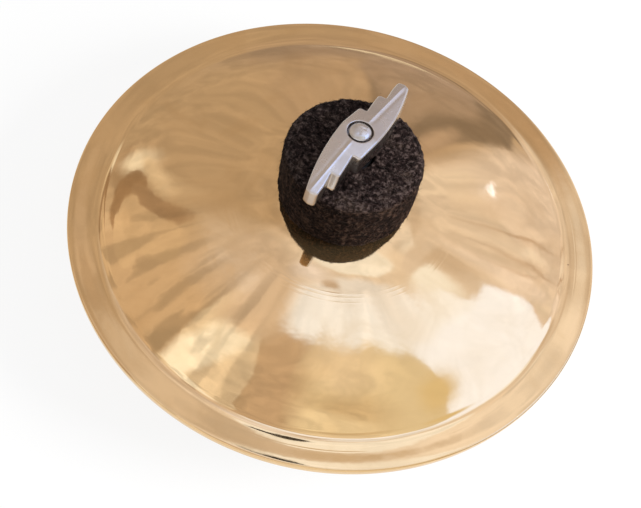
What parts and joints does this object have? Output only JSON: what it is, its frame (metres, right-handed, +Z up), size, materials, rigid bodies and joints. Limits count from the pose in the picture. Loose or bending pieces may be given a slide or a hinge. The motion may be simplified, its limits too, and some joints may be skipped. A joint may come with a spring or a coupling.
{
  "type": "bell cymbal",
  "caption": "Small domed bronze bell cymbal held between thick felts on a threaded rod, with a feathered wing nut above and a hex stand coupling below.",
  "frame": {"origin": "middle of the stand coupling's lower end, where the stand's stud goes in", "axes": "+Z up along the rod, towards the wing nut; +Y away from the viewer of the picture; +X to the right"},
  "size_m": [0.1524, 0.1524, 0.0709],
  "materials": {
    "polished_bronze": "brilliant polished, with fine lathe lines and a slight waviness",
    "charcoal_felt": "thick pressed wool felt, fuzzy",
    "satin_die_cast": "satin nickel on a die casting",
    "bright_steel": "bright plated, turned",
    "zinc_steel": "zinc plated",
    "black_nylon": "matt moulded nylon"
  },
  "bodies": {
    "mount": {"stand_coupling": "zinc_steel", "jam_nut": "zinc_steel", "mount_rod": "bright_steel", "cup_washer": "zinc_steel", "hole_sleeve": "black_nylon"},
    "felts": {"lower_felt": "charcoal_felt", "upper_felt": "charcoal_felt"},
    "cymbal": {"bell_cymbal": "polished_bronze"},
    "nut_carrier": {"nut_washer": "bright_steel"},
    "nut": {"wing_nut": "satin_die_cast"}
  },
  "joints": [
    {"name": "cymbal_spin", "type": "hinge", "parent": "mount", "child": "felts", "pos_m": [0, 0, 0.041], "axis": [0, 0, 1], "continuous": true},
    {"name": "cymbal_rock", "type": "hinge", "parent": "felts", "child": "cymbal", "pos_m": [0, 0, 0.041], "axis": [1, 0, 0], "range_deg": [-8, 8], "stiffness_Nm_per_rad": 1, "deforming": ["lower_felt", "upper_felt"]},
    {"name": "nut_travel", "type": "slide", "parent": "mount", "child": "nut_carrier", "axis": [0, 0, 1], "range_m": [0, 0.00801]},
    {"name": "wing_nut_turn", "type": "hinge", "parent": "nut_carrier", "child": "nut", "pos_m": [0, 0, 0.066], "axis": [0, 0, 1], "range_deg": [0, 2880]}
  ],
  "couplings": [
    {"joint": "nut_travel", "follows": "wing_nut_turn", "m_per_rad": 0.00015915}
  ]
}
